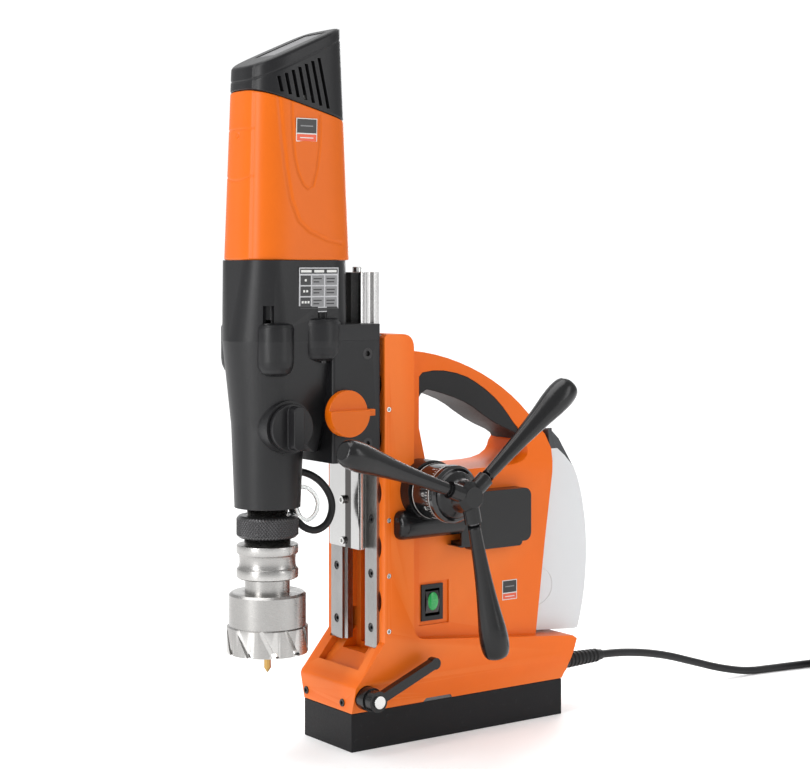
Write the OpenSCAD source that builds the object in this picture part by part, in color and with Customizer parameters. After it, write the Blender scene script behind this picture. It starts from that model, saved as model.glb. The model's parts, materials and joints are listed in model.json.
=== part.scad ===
// Magnetic drill press: an electromagnet foot, a swivelling stand with a rack feed,
// and a geared drill motor that carries an annular cutter. Millimetres.
// Origin at the centre of the magnet's lower face: +X to the rear, -X to the spindle, +Z up.

/* [Magnet foot] */
// Length of the electromagnet
magnet_l = 250; // [240:1:280]
// Width of the electromagnet
magnet_w = 80; // [76:1:86]
// Height of the electromagnet
magnet_h = 35; // [33:1:40]

/* [Stand] */
// Width of the column casting
stand_w = 94; // [92:1:100]
// Height of the column's top above the working surface
column_top = 380; // [370:1:390]
// Width of the rear housing
housing_w = 76; // [72:1:80]
// Width of the handle bar
handle_w = 46; // [40:1:50]
// Length of each guide rail
rail_len = 288; // [260:1:290]

/* [Slide] */
// Height of the slide's lower end at rest
slide_z0 = 181; // [180:1:195]
// Height of the slide's upper end at rest
slide_z1 = 437; // [430:1:450]
// Width of the slide's dovetail plate
slide_w = 53; // [50:1:54]

/* [Feed] */
// Module of the rack and pinion
feed_m = 1.5; // [1.5:0.25:1.5]
// Teeth on the feed pinion
feed_teeth = 16; // [16:1:16]
// Distance from the feed shaft to the tip of a star handle arm
star_r = 150; // [130:1:160]
// Angle of the first star handle arm above the horizontal
star_angle = 40.5; // [30:0.5:50]

/* [Motor unit] */
// Distance of the spindle axis in front of the magnet's centre
spindle_x = 190; // [188:1:195]
// Height of the gearbox nose above the working surface
nose_z = 225; // [220:1:230]
// Height of the seam between gearbox and motor
motor_z0 = 448; // [445:1:455]
// Length of the motor section at its foot, front to back
motor_l = 105; // [100:1:108]
// Width of the motor section at its foot
motor_w = 80; // [78:1:84]

/* [Cutter] */
// Diameter over the cutter's teeth
cutter_d = 73.5; // [60:0.5:80]
// Number of cutting teeth
cutter_teeth = 10; // [6:1:14]

/* [Mains cord] */
// Diameter of the mains cord
cord_d = 8; // [7:0.5:8]

/* [Hidden] */
$fn = 64;
e = 0.1;

orange = [0.90, 0.44, 0.16];
black = [0.16, 0.16, 0.17];
steel = [0.72, 0.71, 0.70];
brass = [0.80, 0.66, 0.30];

// Stand: the column's front face, its back, and the plane of the rear housing's seat
column_front = -93;
column_back = -60;
swivel_x = -27.5;
swivel_r = 43;
swivel_top = magnet_h + 3.5;
foot_z0 = magnet_h + 0.3;
rail_front = -96;
rail_back = -84;
rail_z0 = column_top - 1 - rail_len;
rail_pitch = 50;
slide_back = -80;
stem_w = 37.4;
dovetail_neck = 42;

// Feed shaft and its gearing: the rack's pitch line lies one pitch radius in front of the shaft
pitch_r = feed_m * feed_teeth / 2;
feed_x = -48;
feed_z = 235;
shaft_r = 8;
bush_r = 11.6;
rack_pitch = PI * feed_m;
rack_teeth = 32;
hub_y = -114.5;
star_cone = 2.6;

// Motor unit: the motor's axis stands behind the spindle, the gear train between them
motor_x = 22 - spindle_x;
shell_x = motor_x - 4;
seam_z = 375.5;
bracket_z0 = 265;
bracket_top = 390;
bracket_back = -97.3;
bracket_front = -150;
m1 = 1;
m2 = 1.25;
teeth_a = 10;
teeth_b = 30;
teeth_c = 12;
teeth_d = 52;
centre_1 = m1 * (teeth_a + teeth_b) / 2;
centre_2 = m2 * (teeth_c + teeth_d) / 2;
axis_gap = motor_x + spindle_x;
inter_dx = (pow(centre_2, 2) - pow(centre_1, 2) + pow(axis_gap, 2)) / (2 * axis_gap);
inter_dy = sqrt(pow(centre_2, 2) - pow(inter_dx, 2));
inter_x = inter_dx - spindle_x;
mesh_1 = atan2(inter_dy, inter_x - motor_x);
mesh_2 = atan2(inter_dy, inter_dx);
housing_taper = 15 / 212;
motor_r = 26;
pin_r = 3.15;
pin_bore = 3.2;

// Mains cord: leaves the foot's rear, droops to the floor, and is wound into a coil
exit_y = -25;
exit_z = 48;
coil_x = 515;
coil_y = -100;
coil_r = 48;
cord_route = [
  [190, -25, 48], [210, -25, 47], [230, -25, 45], [250, -25, 42], [270, -25, 38],
  [290, -25, 33], [310, -25, 27], [330, -25, 21], [350, -25, 15], [370, -26, 10],
  [390, -27, 6], [410, -29, 4], [430, -32, 4], [450, -35, 4], [470, -38, 4],
  [490, -41, 4], [515, -44, 4]
];
cord_tail = [[571, -100, 28], [571, -116, 27], [571, -132, 23], [571, -146, 17], [571, -160, 13]];
lead_route = [
  [-163, 6, 254], [-150, 5, 253], [-138, 3, 248], [-128, 1, 239], [-122, -1, 227],
  [-122, -2, 215], [-128, -2, 204], [-139, 0, 199], [-149, 5, 203], [-155, 10, 213],
  [-158, 13, 226], [-163, 14, 234]
];
hose_route = [
  [-163, -4, 241], [-152, -4, 240], [-143, -4, 234], [-138, -3, 225], [-139, -1, 215],
  [-146, 1, 209], [-153, 4, 213], [-157, 6, 224], [-163, 7, 232]
];

// ---- Helpers ----

// Rounded rectangle with true corner arcs
module rounded_rect(sx, sy, r) {
  square([sx - 2 * r, sy], center = true);
  square([sx, sy - 2 * r], center = true);
  for (ix = [-1, 1], iy = [-1, 1])
    translate([ix * (sx / 2 - r), iy * (sy / 2 - r)]) circle(r);
}

// Upright block with rounded vertical edges, from z0 to z1
module block(x, y, sx, sy, z0, z1, r) {
  translate([x, y, z0]) linear_extrude(z1 - z0) rounded_rect(sx, sy, r);
}

// Upright tube from z0 to z1
module tube(r_out, r_in, z0, z1) {
  translate([0, 0, z0]) difference() {
    cylinder(r = r_out, h = z1 - z0);
    translate([0, 0, -1]) cylinder(r = r_in, h = z1 - z0 + 2);
  }
}

// Cylinder along Y from y0 to y1, through x, z
module rod_y(x, z, r, y0, y1) {
  translate([x, y0, z]) rotate([-90, 0, 0]) cylinder(r = r, h = y1 - y0);
}

// Cylinder along X from x0 to x1, through y, z
module rod_x(y, z, r, x0, x1) {
  translate([x0, y, z]) rotate([0, 90, 0]) cylinder(r = r, h = x1 - x0);
}

// Outline in the XZ plane, extruded from y0 to y1
module side_plate(points, y0, y1) {
  translate([0, y1, 0]) rotate([90, 0, 0]) linear_extrude(y1 - y0) polygon(points);
}

// Cap screw along -Z: head on top of z = 0, shank below
module cap_screw(head_r, head_h, shank_r, length) {
  difference() {
    cylinder(r = head_r, h = head_h);
    translate([0, 0, head_h / 2]) cylinder(r = head_r * 0.5, h = head_h, $fn = 6);
  }
  translate([0, 0, -length]) cylinder(r = shank_r, h = length);
}

// Point on a cubic curve
function bezier(p, t) =
  pow(1 - t, 3) * p[0] + 3 * t * pow(1 - t, 2) * p[1] + 3 * t * t * (1 - t) * p[2] + pow(t, 3) * p[3];
function curve(p, n) = [for (i = [0:n]) bezier(p, i / n)];
function reversed(v) = [for (i = [len(v) - 1:-1:0]) v[i]];

// Spur gear outline with straight flanks
module gear_outline(m, z, phase) {
  r = m * z / 2;
  tooth = 360 / z;
  flank = [[-0.30, -1.25], [-0.205, 0], [-0.10, 1], [0.10, 1], [0.205, 0], [0.30, -1.25]];
  polygon([for (i = [0:z - 1], k = flank)
    let (a = phase + (i + k[0]) * tooth, q = r + k[1] * m)
    [q * cos(a), q * sin(a)]]);
}

module gear(m, z, phase, z0, z1) {
  translate([0, 0, z0]) linear_extrude(z1 - z0) gear_outline(m, z, phase);
}

// Round tube swept along a route: rings stand square to the route at each of its points
function unit(v) = v / norm(v);
function heading(p, i) = unit(p[min(i + 1, len(p) - 1)] - p[max(i - 1, 0)]);
function side_of(t) = unit(cross(abs(t[2]) > 0.9 ? [1, 0, 0] : [0, 0, 1], t));
module sweep(route, r, sides) {
  n = len(route);
  rings = [for (i = [0:n - 1])
    let (t = heading(route, i), u = side_of(t), v = cross(t, u))
    for (k = [0:sides - 1])
      route[i] + r * (cos(360 * k / sides) * u + sin(360 * k / sides) * v)];
  walls = [for (i = [0:n - 2], k = [0:sides - 1], half = [0, 1])
    let (a = i * sides + k, c = i * sides + (k + 1) % sides)
    half == 0 ? [a, a + sides, c + sides] : [a, c + sides, c]];
  start = [for (k = [0:sides - 1]) k];
  finish = [for (k = [sides - 1:-1:0]) (n - 1) * sides + k];
  polyhedron(concat(rings), concat(walls, [start], [finish]), convexity = 10);
}

// ---- Magnet foot ----

module coil_groove(z0, z1, gap) {
  difference() {
    block(0, 0, 210 - 2 * gap, 56 - 2 * gap, z0, z1, 10);
    block(0, 0, 178 + 2 * gap, 24 + 2 * gap, z0 - 1, z1 + 1, 6);
  }
}

module magnet_body() {
  color([0.14, 0.14, 0.15]) difference() {
    translate([-magnet_l / 2, -magnet_w / 2, 0]) cube([magnet_l, magnet_w, magnet_h]);
    coil_groove(-1, 28, 0);
    translate([swivel_x, 0, 30]) cylinder(r = 10, h = 10);
  }
}

module magnet_coil() {
  color([0.72, 0.42, 0.20]) coil_groove(8, 27, 1);
}

module magnet_potting() {
  color([0.10, 0.10, 0.11]) coil_groove(0.5, 8, 0);
}

module swivel_plate() {
  color(steel) translate([swivel_x, 0, 0]) {
    intersection() {
      translate([0, 0, magnet_h]) cylinder(r = swivel_r, h = swivel_top - magnet_h, $fn = 96);
      translate([-50, -magnet_w / 2 + 0.5, magnet_h - 1]) cube([100, magnet_w - 1, 6]);
    }
    translate([0, 0, 30]) cylinder(r = 10, h = 31);
    // Nut on the pivot, inside the foot
    translate([0, 0, 50.2]) difference() {
      cylinder(r = 17, h = 9, $fn = 6);
      translate([0, 0, -1]) cylinder(r = 10, h = 11);
    }
  }
}

// ---- Stand ----

foot_fillet = curve([[column_back, 112], [column_back, 100], [-56, 96], [-44, 95]], 6);
stand_profile = concat(
  [[-125, foot_z0], [-125, 58]],
  [[-123.5, 61], [-120.6, 64], [column_front, 97]],
  [[column_front, column_top - 3], [column_front + 3, column_top]],
  curve([[column_back - 13, column_top], [column_back - 5, column_top], [column_back, column_top - 5],
    [column_back, column_top - 13]], 6),
  foot_fillet,
  [[134, 77.5], [139, 74], [125, foot_z0]]);

module stand_front_profile() {
  half = stand_w / 2;
  base = magnet_w / 2;
  translate([-200, 0, 0]) rotate([90, 0, 90]) linear_extrude(400) polygon([
    [-base, foot_z0], [-half + 1, 55], [-half, 62], [-half, column_top + 1],
    [half, column_top + 1], [half, 62], [half - 1, 55], [base, foot_z0]]);
}

// Fixing screws of both guide rails: side of the machine and height
rail_screws = [for (s = [-1, 1], k = [0:5]) [s * 28.5, rail_z0 + 18 + k * rail_pitch]];
gib_z = [for (k = [0:4]) 107 + 51 * k];
foot_screw_y = [-25, 36];

module stand_frame() {
  color(orange) difference() {
    intersection() {
      union() {
        side_plate(stand_profile, -60, 60);
        rod_x(exit_y, exit_z, 11.5, 120, 136);
      }
      stand_front_profile();
    }
    // Turntable recess and the pivot's bore
    translate([swivel_x, 0, magnet_h - 2])
      cylinder(r = swivel_r + 0.4, h = swivel_top - magnet_h + 2.1, $fn = 96);
    translate([swivel_x, 0, magnet_h]) cylinder(r = 10.05, h = 30);
    // Seats of the guide rails
    for (s = [-1, 1])
      translate([column_front - 5, s * 28.55 - 9.55, rail_z0])
        cube([rail_back - column_front + 5, 19.1, rail_len + 9]);
    // Slot of the slide, and of the rack behind it
    translate([column_front - 5, -19.05, rail_z0 - 8])
      cube([slide_back - column_front + 5.3, 38.1, rail_len + 17]);
    translate([slide_back - 5, -11.5, rail_z0 - 3]) cube([30, 23, rail_len + 12]);
    // Sloping chip trough below the slot
    side_plate([[-116.7, 67.6], [-112.1, 63.8], [slide_back + 0.3, 102], [slide_back + 0.3, 120],
      [column_front - 5, 120], [column_front - 5, 95.9]], -33, 33);
    for (q = rail_screws) rod_x(q[0], q[1], 2.5, rail_back - 5, rail_back + 14);
    for (z = gib_z) rod_y(-88, z, 2.5, -50, -38);
    for (y = foot_screw_y) rod_x(y, 43, 3.5, -126, -118);
    // Bore and spot face of the base clamp
    rod_y(-113, 49.5, 5.05, -50, 26);
    rod_y(-113, 49.5, 11.3, -50, -43.5);
    // Round pockets behind the rails, between their screws
    for (s = [-1, 1], k = [0:4])
      rod_x(s * 25, rail_z0 + 43 + k * rail_pitch, 16.5, column_front - 5, column_front + 5.5);
    // Electronics bay in the foot, open to the housing above
    translate([-12, -33, 50]) cube([96, 66, 50]);
    translate([swivel_x, 0, 50]) cylinder(r = 19.5, h = 20);
    // Cable gland
    rod_x(exit_y, exit_z, 8, 110, 140);
    translate([80, exit_y - 8, 50]) cube([32, 16, 10]);
  }
}

handle_top = curve([[column_back, 364], [5, 362], [78, 328], [114, 276]], 14);
grip_line = [
  [-37, 338], [-33, 342], [-20, 343.5], [-7.5, 343], [8, 340], [20.8, 335.8], [32, 330], [42.3, 323.6],
  [54, 315], [64.1, 305.5], [72, 296.5], [78.9, 287.6], [86, 279], [90.5, 272]];
opening_top = [
  [-37, 318], [-34, 322], [-28, 325.5], [-18, 323.5], [-7.5, 320.5], [5, 316.5], [17, 311.8], [28, 306],
  [38.7, 299], [52, 291], [66, 284.5], [78, 279.5], [84.5, 275.5], [87.6, 271.5]];
opening_low = [
  [88.2, 267], [88, 262], [86, 257.5], [80, 253], [70, 250.3], [58, 249.3], [30, 249], [-33, 249],
  [-37, 253]];
housing_profile = concat(
  reversed(foot_fillet), handle_top,
  [[118, 262], [113, 227], [105, 172], [93.5, 95 - 137.5 * 17.5 / 178]]);
hand_space = concat(grip_line, opening_low);

module housing_front_profile() {
  wide = housing_w / 2;
  slim = handle_w / 2;
  translate([-80, 0, 0]) rotate([90, 0, 90]) linear_extrude(220) polygon([
    [-wide, 70], [-wide, 240], [-wide + 1.5, 250], [-slim, 290], [-slim, 360], [-slim + 4, 366],
    [slim - 4, 366], [slim, 360], [slim, 290], [wide - 1.5, 250], [wide, 240], [wide, 70]]);
}

module rear_housing() {
  wall = 4;
  bay = [[-52, 106], [-44, 100.5], [88, 87.5], [101, 172], [108, 222], [100, 236], [-28, 240], [-52, 240]];
  color(orange) difference() {
    intersection() {
      side_plate(housing_profile, -60, 60);
      housing_front_profile();
    }
    side_plate(hand_space, -60, 60);
    difference() {
      side_plate(bay, -housing_w / 2 + wall, housing_w / 2 - wall);
      rod_y(feed_x, feed_z, 17, 20, 60);
    }
    // Rack and pinion clearance
    translate([column_back - 1, -11.5, 90]) cube([5, 23, 290]);
    rod_y(feed_x, feed_z, 15.2, -12, 12);
    // Bore of the far bush, and the way in for the shaft
    rod_y(feed_x, feed_z, bush_r, -60, 36);
    // Switch recess and window
    translate([-48, -housing_w / 2 - 1, 106]) cube([35, 2.5, 40.5]);
    translate([-43.5, -40, 112]) cube([22, 12, 30]);
    // Floor opening over the foot's bay
    translate([-11, -32, 80]) cube([92, 64, 30]);
  }
}

module handle_grip() {
  grip_outline = concat(grip_line, reversed(opening_top));
  color(black) intersection() {
    side_plate(grip_outline, -handle_w / 2 - 1, handle_w / 2 + 1);
    housing_front_profile();
  }
}

module guide_rail() {
  difference() {
    union() {
      translate([rail_front, 19, rail_z0]) cube([rail_back - rail_front, 19, rail_len]);
      translate([0, 0, rail_z0]) linear_extrude(rail_len)
        polygon([[-93.5, 19.5], [-91.5, 16.4], [-88.5, 16.4], [-86.5, 19.5]]);
    }
    for (k = [0:5]) {
      rod_x(28.5, rail_z0 + 18 + k * rail_pitch, 4.2, rail_front - 1, rail_front + 5);
      rod_x(28.5, rail_z0 + 18 + k * rail_pitch, 2.5, rail_front, rail_back + 1);
    }
  }
}

module near_guide_rail() {
  color(steel) mirror([0, 1, 0]) guide_rail();
}

module far_guide_rail() {
  color(steel) guide_rail();
}

module guide_rail_screws() {
  color([0.20, 0.20, 0.21])
    for (q = rail_screws)
      translate([rail_front + 5, q[0], q[1]]) rotate([0, -90, 0]) cap_screw(4.2, 4.2, 2.5, 20);
}

module gib_screws() {
  color(steel)
    for (z = gib_z)
      difference() {
        rod_y(-88, z, 2.5, -stand_w / 2 + 0.4, -38.1);
        rod_y(-88, z, 1.2, -stand_w / 2, -stand_w / 2 + 2.5);
      }
}

module foot_screws() {
  color([0.20, 0.20, 0.21])
    for (y = foot_screw_y)
      difference() {
        rod_x(y, 43, 3.5, -126.2, -119);
        rod_x(y, 43, 1.8, -127, -124);
      }
}

module pinion_housing() {
  y0 = -housing_w / 2;
  color(black) difference() {
    union() {
      rod_y(feed_x, feed_z, 28, -60, y0);
      translate([-83, -49, 204]) rotate([0, 90, 0]) rotate_extrude() polygon([[0, 0], [7.5, 0], [11, 1.6],
        [13, 4.5], [13.5, 8], [13.5, 72], [0, 72]]);
      translate([-80, -46, 192]) cube([66, 46 + y0, 26]);
    }
    rod_y(feed_x, feed_z, bush_r, -70, y0 + 1);
    rod_y(feed_x, feed_z, 26.6, -70, -60.1);
    translate([-100, y0, 180]) cube([120, 20, 100]);
    // The column's near flank
    translate([column_front, -stand_w / 2 - 0.2, 180]) cube([column_back - column_front + 0.2, 20, 100]);
  }
}

module feed_bushes() {
  color(brass) {
    difference() {
      rod_y(feed_x, feed_z, bush_r, -60, -24);
      rod_y(feed_x, feed_z, shaft_r + 0.05, -61, -23);
    }
    difference() {
      rod_y(feed_x, feed_z, bush_r, 20, 36);
      rod_y(feed_x, feed_z, shaft_r + 0.05, 19, 37);
    }
  }
}

module control_box() {
  y0 = -housing_w / 2;
  color(black) difference() {
    union() {
      translate([28, y0, 203.5]) rotate([90, 0, 0]) linear_extrude(17) rounded_rect(92, 51, 8);
      translate([36, y0, 184]) rotate([90, 0, 0]) linear_extrude(12) rounded_rect(62, 22, 4);
    }
    translate([-12, y0 - 14, 183]) cube([82, 20, 41]);
    rod_y(feed_x, feed_z, 28.2, -70, 0);
    translate([-20, -70, 180]) cube([9.4, 40, 39]);
  }
}

module control_board() {
  color([0.10, 0.42, 0.25]) translate([10, -30, 110]) cube([72, 1.6, 80]);
  color([0.15, 0.15, 0.16]) {
    translate([22, -28.4, 130]) cube([30, 18, 26]);
    translate([60, -28.4, 118]) cube([16, 12, 40]);
  }
}

switch_x = -32.5;
switch_y = 1.5 - housing_w / 2;
switch_z = 127;
rocker_y = switch_y + 3.5;
module switch_bezel() {
  color(black) difference() {
    union() {
      translate([switch_x - 12.5, switch_y - 1.8, switch_z - 17]) cube([25, 1.8, 34]);
      translate([switch_x - 11, switch_y, switch_z - 15]) cube([22, 9, 30]);
    }
    translate([switch_x - 8.3, switch_y - 3, switch_z - 12.5]) cube([16.6, 11, 25]);
    rod_x(rocker_y, switch_z, 1.56, switch_x - 10, switch_x + 10);
  }
}

module switch_rocker() {
  color([0.10, 0.65, 0.25]) {
    intersection() {
      translate([switch_x - 7.7, switch_y - 3.5, switch_z - 10.5]) cube([15.4, 9, 21]);
      rod_x(switch_y + 22, switch_z, 25, switch_x - 9, switch_x + 9);
    }
    rod_x(rocker_y, switch_z, 1.5, switch_x - 9.7, switch_x + 9.7);
  }
}

lever_angle = 22;
module clamp_lever() {
  color(black) {
    difference() {
      union() {
        rod_y(-113, 49.5, 9.5, -66, -56);
        rod_y(-113, 49.5, 10.8, -56, -43.8);
      }
      rod_y(-113, 49.5, 3, -67, -58);
    }
    rod_y(-113, 49.5, 5, -44, 24);
    translate([-113, -61.5, 49.5]) rotate([0, -lever_angle, 0]) difference() {
      union() {
        translate([0, -3.8, -4.4]) cube([70, 7.6, 8.8]);
        translate([70, 3.8, 0]) rotate([90, 0, 0]) cylinder(r = 5.4, h = 7.6);
      }
      translate([0, 20, 0]) rotate([90, 0, 0]) cylinder(r = 9, h = 40);
    }
  }
}

module clamp_lever_screw() {
  color(steel) {
    rod_y(-113, 49.5, 5.8, -68.5, -66);
    rod_y(-113, 49.5, 3, -66.1, -58);
  }
}

// ---- Feed ----

module pinion_shaft() {
  color(steel) {
    rod_y(feed_x, feed_z, shaft_r, -112, 35.5);
    translate([feed_x, 10, feed_z]) rotate([90, 0, 0]) linear_extrude(20)
      gear_outline(feed_m, feed_teeth, 0);
  }
}

module scale_ring() {
  color(black) translate([feed_x, 0, feed_z]) rotate([90, 0, 0]) rotate_extrude()
    polygon([[shaft_r, 60.4], [25, 60.4], [25.6, 62], [25.6, 86], [26.4, 87], [26.4, 94], [24, 96.5],
      [shaft_r, 96.5]]);
}

// Direction of star arm i, drawn along +Z of its own frame
module on_arm(i) {
  translate([feed_x, hub_y, feed_z]) rotate([0, 90 - star_angle - 120 * i, 0]) rotate([star_cone, 0, 0])
    children();
}

module star_hub() {
  color(black) difference() {
    union() {
      translate([feed_x, 0, feed_z]) rotate([90, 0, 0]) rotate_extrude()
        polygon([[0, 96.5], [22, 96.5], [20.5, 99.5], [16, 103], [14, 106.5], [14, 118], [9.5, 123],
          [0, 123]]);
      for (i = [0:2]) on_arm(i) translate([0, 0, 10]) cylinder(r = 7.8, h = 14);
    }
    rod_y(feed_x, feed_z, shaft_r, -112, -80);
    for (i = [0:2]) on_arm(i) translate([0, 0, 14]) cylinder(r = 5, h = 12);
  }
}

module star_spokes() {
  color(black) for (i = [0:2]) on_arm(i) translate([0, 0, 14]) cylinder(r = 5, h = 40);
}

module star_grips() {
  color(black) for (i = [0:2]) on_arm(i) difference() {
    rotate_extrude() polygon(concat([[0, 26], [5.8, 26]],
      curve([[5.8, 30], [6.6, 70], [9, 95], [12.6, 122]], 8),
      curve([[13.2, 130], [13.6, 140], [12.5, star_r - 1], [7, star_r]], 6), [[0, star_r]]));
    translate([0, 0, 20]) cylinder(r = 5, h = 34);
  }
}

// ---- Slide carriage ----

// Dovetail plate in front, stem between the rails with a groove each side
slide_outline = [
  [-105.6, -slide_w / 2], [-103, -slide_w / 2], [-98, -dovetail_neck / 2], [-98, -stem_w / 2],
  [-94.2, -stem_w / 2], [-92.0, -15.8], [-88.0, -15.8], [-85.8, -stem_w / 2], [slide_back, -stem_w / 2],
  [slide_back, stem_w / 2], [-85.8, stem_w / 2], [-88.0, 15.8], [-92.0, 15.8], [-94.2, stem_w / 2],
  [-98, stem_w / 2], [-98, dovetail_neck / 2], [-103, slide_w / 2], [-105.6, slide_w / 2],
  [-107, 21], [-107, -23.5]];

module carriage_slide() {
  color(steel) difference() {
    translate([0, 0, slide_z0]) linear_extrude(slide_z1 - slide_z0) polygon(slide_outline);
    rod_x(0, slide_z0 + 44, 2.5, -108, -97);
    rod_x(0, slide_z0 + 6, 2, -108, -98);
    translate([-92, 0, slide_z1 - 12]) cylinder(r = 2.5, h = 13);
  }
}

module feed_rack() {
  root = feed_x - pitch_r - 1.25 * feed_m;
  first = feed_z - rack_pitch / 2 - 8 * rack_pitch;
  color([0.45, 0.44, 0.43]) side_plate(concat(
    [[slide_back, first - rack_pitch / 2]],
    [for (i = [0:rack_teeth - 1], k = [[-0.36, 0], [-0.1, 1], [0.1, 1], [0.36, 0]])
      [root + k[1] * 2.25 * feed_m, first + (i + k[0]) * rack_pitch]],
    [[slide_back, first + (rack_teeth - 0.5) * rack_pitch]]), -9, 9);
}

module carriage_screws() {
  color(steel) translate([-107, 0, slide_z0 + 44]) rotate([0, -90, 0]) cap_screw(4, 3.5, 2.5, 9);
  color(black) {
    translate([-107, 0, slide_z0 + 6]) rotate([0, -90, 0]) cap_screw(3.6, 2.6, 2, 8);
    translate([-92, 0, slide_z1]) cap_screw(4.5, 5, 2.5, 11);
  }
}

// ---- Motor unit ----

// The bracket's dovetail slot, with running clearance on the slide
module slide_slot(z0, z1) {
  g = 0.25;
  wide = slide_w / 2 + g;
  neck = dovetail_neck / 2 + g;
  translate([0, 0, z0]) linear_extrude(z1 - z0) polygon([
    [-107 - g, -wide], [-103 + g, -wide], [-98 + g, -neck], [-90, -neck],
    [-90, neck], [-98 + g, neck], [-103 + g, wide], [-107 - g, wide]]);
}

bracket_screw_z = [281, 363];
module bracket_block(z0, z1) {
  block((bracket_back + bracket_front) / 2, 0, bracket_back - bracket_front, stand_w, z0, z1, 3);
}

module motor_bracket() {
  color(black) difference() {
    bracket_block(bracket_z0, seam_z);
    slide_slot(bracket_z0 - 1, seam_z + 1);
    for (z = bracket_screw_z) {
      rod_y(-112, z, 5.2, -stand_w / 2 - 1, -stand_w / 2 + 5);
      rod_y(-112, z, 3, -stand_w / 2 - 1, -30);
    }
    rod_y(-138, 310, 6, -stand_w / 2 - 1, -30);
    layshaft_seats();
  }
}

module bracket_screws() {
  color([0.22, 0.22, 0.23])
    for (z = bracket_screw_z)
      translate([-112, -stand_w / 2 + 5, z]) rotate([90, 0, 0]) cap_screw(5.2, 5, 3, 12);
}

// Seats of the intermediate shaft, in all three castings
module layshaft_seats() {
  translate([inter_x, inter_dy, 368]) cylinder(r = 4.05, h = 55);
}

// Gearbox section at the seam, shared by both casings
module seam_slice(z) {
  translate([-spindle_x, 0, z]) cylinder(r = 41, h = e);
  for (s = [-1, 1]) translate([-139, s * 27, z]) cylinder(r = 14, h = e);
}

// Screw bosses on both flanks: centre, radius, lowest and highest point; and the screws in them
pods = [[[-201, 31], 17, 345, 392], [[-155, 31], 20, 357, 396]];
gearbox_screw_at = [[-210, -34.5], [-157, -42], [-210, 34.5], [-157, 42]];
module on_pods() {
  for (q = pods, s = [-1, 1]) translate([q[0][0], s * q[0][1], 0]) rotate_extrude() polygon(
    [[0, q[2]], [q[1] - 8, q[2]], [q[1] - 3, q[2] + 3], [q[1] - 0.8, q[2] + 8], [q[1], q[2] + 14],
      [q[1], q[3] - 5], [q[1] - 1.5, q[3] - 1.5], [q[1] - 5, q[3]], [0, q[3]]]);
}

module gearbox_upper() {
  color(black) difference() {
    union() {
      hull() {
        seam_slice(seam_z);
        translate([shell_x, 0, motor_z0 - e]) linear_extrude(e) rounded_rect(motor_l, motor_w, motor_r);
      }
      bracket_block(seam_z, bracket_top);
      on_pods();
    }
    translate([-300, -100, 300]) cube([300, 200, seam_z - 300]);
    slide_slot(seam_z - 1, bracket_top + 1);
    // Gear chamber
    translate([-spindle_x, 0, seam_z - 1]) cylinder(r = 35.5, h = 20.5);
    translate([inter_x, inter_dy, seam_z - 1]) cylinder(r = 18, h = 41);
    translate([motor_x, 0, seam_z + 15]) cylinder(r = 9, h = 40);
    translate([motor_x, 0, 428]) cylinder(r = 11, h = 30);
    layshaft_seats();
    for (q = gearbox_screw_at) {
      translate([q[0], q[1], seam_z - 1]) cylinder(r = 2.6, h = 30);
      translate([q[0], q[1], seam_z + 12]) cylinder(r = 5, h = 20);
    }
  }
}

module gearbox_lower() {
  color(black) difference() {
    union() {
      hull() {
        seam_slice(seam_z - e);
        translate([-spindle_x, 0, 300]) cylinder(r = 33, h = e);
        for (s = [-1, 1]) translate([-158, s * 20, 275]) cylinder(r = 8, h = e);
      }
      translate([-spindle_x, 0, nose_z]) cylinder(r1 = 30, r2 = 33, h = 76);
      rod_y(-spindle_x, 299, 24, -38, 0);
      on_pods();
    }
    translate([-300, -100, seam_z]) cube([300, 200, 50]);
    translate([bracket_front, -stand_w / 2, nose_z]) cube([60, stand_w, 160]);
    // Bearing seats and the spindle's bore
    translate([-spindle_x, 0, nose_z - 1]) cylinder(r = 19.2, h = 4);
    translate([-spindle_x, 0, nose_z + 3]) cylinder(r = 24, h = 18);
    translate([-spindle_x, 0, nose_z]) cylinder(r = 17, h = 155);
    translate([-spindle_x, 0, seam_z - 20]) cylinder(r = 22, h = 21);
    layshaft_seats();
    for (q = gearbox_screw_at) translate([q[0], q[1], seam_z - 22]) cylinder(r = 2.6, h = 30);
  }
}

module gearbox_screws() {
  color(steel) for (q = gearbox_screw_at)
    translate([q[0], q[1], seam_z + 12]) cap_screw(4.6, 4.5, 2.6, 32);
}

module gear_selector() {
  color(black) {
    rod_y(-spindle_x, 299, 21.5, -44, -38.3);
    translate([-spindle_x, -44, 299]) rotate([90, 0, 0]) linear_extrude(11) rounded_rect(11, 39, 5);
  }
}

module height_clamp_knob() {
  y0 = -stand_w / 2 - 0.3;
  color(orange) {
    rod_y(-138, 310, 5.95, y0 - 3, -31);
    rod_y(-138, 310, 21, y0 - 7, y0);
    intersection() {
      rod_y(-138, 310, 21, y0 - 12, y0);
      translate([-160, y0 - 11, 285]) cube([44, 12, 28]);
    }
    translate([-118.5, y0 - 7, 307]) cube([10, 7, 6]);
  }
}

// Tapered motor section: half sizes shrink with height, inset by the wall
module motor_slice(z, inset) {
  grow = (z - motor_z0) * housing_taper;
  translate([shell_x, 0, z]) linear_extrude(e)
    rounded_rect(motor_l - grow - 2 * inset, motor_w - grow * 0.8 - 2 * inset, motor_r - inset);
}

module motor_body(z0, z1, inset) {
  hull() {
    motor_slice(z0, inset);
    motor_slice(z1 - e, inset);
  }
}

// Half space below the seam between motor shell and vent cap
module below_seam(lift) {
  side_plate([[-240, 400], [-240, 605.4 + lift], [-100, 567.6 + lift], [-100, 400]], -60, 60);
}

module below_top(drop) {
  side_plate([[-240, 500], [-240, 611.5 - drop], [-100, 674 - drop], [-100, 500]], -60, 60);
}

module brush_window() {
  translate([-244, -13, 520]) cube([40, 26, 46]);
}

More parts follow.
